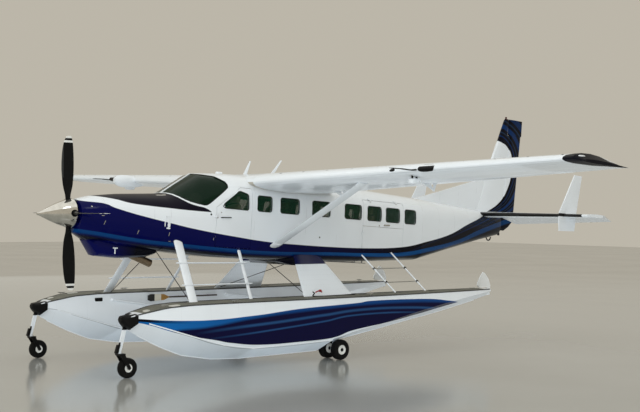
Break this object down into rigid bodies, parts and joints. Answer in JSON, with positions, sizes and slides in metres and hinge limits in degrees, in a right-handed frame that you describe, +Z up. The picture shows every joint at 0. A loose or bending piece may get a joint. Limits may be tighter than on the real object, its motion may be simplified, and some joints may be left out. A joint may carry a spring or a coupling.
{
  "type": "utility floatplane",
  "caption": "High-wing single-engine utility floatplane on twin amphibious floats, with hinged doors and control surfaces, a spinning propeller and wheels under the floats.",
  "frame": {"origin": "on the level floor under the middle of the aircraft's length and span", "axes": "+X to port, +Y aft, +Z up"},
  "size_m": [15.87, 12.6678, 5.0823],
  "materials": {
    "white paint": "gloss",
    "hull paint": "gloss",
    "navy paint": "gloss",
    "black paint": "satin",
    "polished metal": "polished",
    "engine metal": "satin",
    "exhaust steel": "matte",
    "glazing": "gloss",
    "tyre rubber": "matte",
    "cabin trim": "satin",
    "black plastic": "matte",
    "wood": "satin"
  },
  "bodies": {
    "airframe": {"cabin_side_port": "white paint", "cabin_side_starboard": "white paint", "windshield_port": "glazing", "windshield_starboard": "glazing", "side_windows_port": "glazing", "side_windows_starboard": "glazing", "wing_port": "white paint", "wing_starboard": "white paint", "wing_strut_port": "white paint", "wing_strut_starboard": "white paint", "stabilizer_port": "white paint", "stabilizer_starboard": "white paint", "float_port": "hull paint", "float_starboard": "hull paint", "bow_leg_port": "white paint", "bow_leg_starboard": "white paint", "front_strut_port": "white paint", "front_strut_starboard": "white paint", "rear_strut_port": "white paint", "rear_strut_starboard": "white paint", "nose_cowl": "navy paint", "engine": "engine metal", "firewall": "engine metal", "exhaust_stack": "exhaust steel", "cabin_floor": "navy paint", "cabin_roof": "white paint", "cabin_seats": "cabin trim", "instrument_panel": "black plastic", "radar_pod": "white paint", "tail_cone": "navy paint", "fin": "white paint", "belly_fairing": "navy paint", "rear_ladder": "white paint", "paddle": "wood"},
    "propeller": {"propeller": "polished metal"},
    "rudder": {"rudder": "navy paint"},
    "elevators": {"elevator_port": "navy paint", "elevator_starboard": "navy paint"},
    "aileron_port": {"aileron_port": "white paint"},
    "aileron_starboard": {"aileron_starboard": "white paint"},
    "flap_port": {"flap_port": "white paint"},
    "flap_starboard": {"flap_starboard": "white paint"},
    "crew_door_port": {"crew_door_port": "white paint"},
    "crew_door_starboard": {"crew_door_starboard": "white paint"},
    "cargo_door_upper": {"cargo_door_upper": "white paint"},
    "cargo_door_lower": {"cargo_door_lower": "white paint"},
    "stair_door_upper": {"stair_door_upper": "white paint"},
    "stair_door_lower": {"stair_door_lower": "white paint"},
    "nose_fork_port": {"nose_fork_port": "black paint"},
    "nose_fork_starboard": {"nose_fork_starboard": "black paint"},
    "nose_wheel_port": {"nose_wheel_port": "tyre rubber"},
    "nose_wheel_starboard": {"nose_wheel_starboard": "tyre rubber"},
    "main_wheels_port": {"main_wheels_port": "tyre rubber"},
    "main_wheels_starboard": {"main_wheels_starboard": "tyre rubber"},
    "water_rudder_port": {"water_rudder_port": "white paint"},
    "water_rudder_starboard": {"water_rudder_starboard": "white paint"}
  },
  "joints": [
    {"name": "propeller_spin", "type": "hinge", "parent": "airframe", "child": "propeller", "pos_m": [0, -5.734, 2.712], "axis": [0, 0.9996, 0.0274], "continuous": true},
    {"name": "rudder_hinge", "type": "hinge", "parent": "airframe", "child": "rudder", "pos_m": [0, 5.53624, 2.35882], "axis": [0, 0.1648, 0.9863], "range_deg": [-25, 25]},
    {"name": "elevator_hinge", "type": "hinge", "parent": "airframe", "child": "elevators", "pos_m": [0, 5.38655, 2.7628], "axis": [1, 0, 0], "range_deg": [0, 43]},
    {"name": "aileron_port_hinge", "type": "hinge", "parent": "airframe", "child": "aileron_port", "pos_m": [4.91, -0.84618, 3.40572], "axis": [0.9991, -0.0009, 0.0423], "range_deg": [-20, 20]},
    {"name": "aileron_starboard_hinge", "type": "hinge", "parent": "airframe", "child": "aileron_starboard", "pos_m": [-4.91, -0.84618, 3.40572], "axis": [0.9991, 0.0009, -0.0423], "range_deg": [-20, 20]},
    {"name": "flap_port_hinge", "type": "hinge", "parent": "airframe", "child": "flap_port", "pos_m": [1.7, -0.85388, 3.0808], "axis": [-0.9991, 0.0009, -0.0421], "range_deg": [0, 30]},
    {"name": "flap_starboard_hinge", "type": "hinge", "parent": "airframe", "child": "flap_starboard", "pos_m": [-1.7, -0.85388, 3.0808], "axis": [-0.9991, -0.0009, 0.0421], "range_deg": [0, 30]},
    {"name": "crew_door_port_hinge", "type": "hinge", "parent": "airframe", "child": "crew_door_port", "pos_m": [0.7982, -3.15941, 2.214], "axis": [0, -0.0558, -0.9984], "range_deg": [0, 80]},
    {"name": "crew_door_starboard_hinge", "type": "hinge", "parent": "airframe", "child": "crew_door_starboard", "pos_m": [-0.7982, -3.15941, 2.214], "axis": [0, 0.0558, 0.9984], "range_deg": [0, 80]},
    {"name": "cargo_door_upper_hinge", "type": "hinge", "parent": "airframe", "child": "cargo_door_upper", "pos_m": [0.76749, 0.5556, 3.05984], "axis": [0.0669, -0.9962, 0.0557], "range_deg": [0, 95]},
    {"name": "cargo_door_lower_hinge", "type": "hinge", "parent": "airframe", "child": "cargo_door_lower", "pos_m": [0.82421, 0.43698, 2.01293], "axis": [0, -0.0558, -0.9984], "range_deg": [0, 150]},
    {"name": "stair_door_upper_hinge", "type": "hinge", "parent": "airframe", "child": "stair_door_upper", "pos_m": [-0.73245, 1.14468, 3.0269], "axis": [0.0776, 0.9954, -0.0557], "range_deg": [0, 95]},
    {"name": "stair_door_lower_hinge", "type": "hinge", "parent": "airframe", "child": "stair_door_lower", "pos_m": [-0.79589, 1.08596, 1.97664], "axis": [-0.0646, -0.9964, 0.0557], "range_deg": [0, 120]},
    {"name": "nose_swivel_port", "type": "hinge", "parent": "airframe", "child": "nose_fork_port", "pos_m": [1.631, -5.619, 0.4], "axis": [0, 0, 1], "range_deg": [-60, 60]},
    {"name": "nose_swivel_starboard", "type": "hinge", "parent": "airframe", "child": "nose_fork_starboard", "pos_m": [-1.631, -5.619, 0.4], "axis": [0, 0, 1], "range_deg": [-60, 60]},
    {"name": "nose_wheel_port_spin", "type": "hinge", "parent": "nose_fork_port", "child": "nose_wheel_port", "pos_m": [1.631, -5.471, 0.1685], "axis": [1, 0, 0], "continuous": true},
    {"name": "nose_wheel_starboard_spin", "type": "hinge", "parent": "nose_fork_starboard", "child": "nose_wheel_starboard", "pos_m": [-1.631, -5.471, 0.1685], "axis": [1, 0, 0], "continuous": true},
    {"name": "main_wheels_port_spin", "type": "hinge", "parent": "airframe", "child": "main_wheels_port", "pos_m": [1.631, -0.984, 0.193], "axis": [1, 0, 0], "continuous": true},
    {"name": "main_wheels_starboard_spin", "type": "hinge", "parent": "airframe", "child": "main_wheels_starboard", "pos_m": [-1.631, -0.984, 0.193], "axis": [1, 0, 0], "continuous": true},
    {"name": "water_rudder_port_lift", "type": "hinge", "parent": "airframe", "child": "water_rudder_port", "pos_m": [1.631, 3.356, 1.09], "axis": [-1, 0, 0], "range_deg": [0, 160]},
    {"name": "water_rudder_starboard_lift", "type": "hinge", "parent": "airframe", "child": "water_rudder_starboard", "pos_m": [-1.631, 3.356, 1.09], "axis": [-1, 0, 0], "range_deg": [0, 160]}
  ],
  "couplings": [
    {"joint": "aileron_starboard_hinge", "follows": "aileron_port_hinge", "ratio": -1},
    {"joint": "flap_starboard_hinge", "follows": "flap_port_hinge", "ratio": 1}
  ]
}
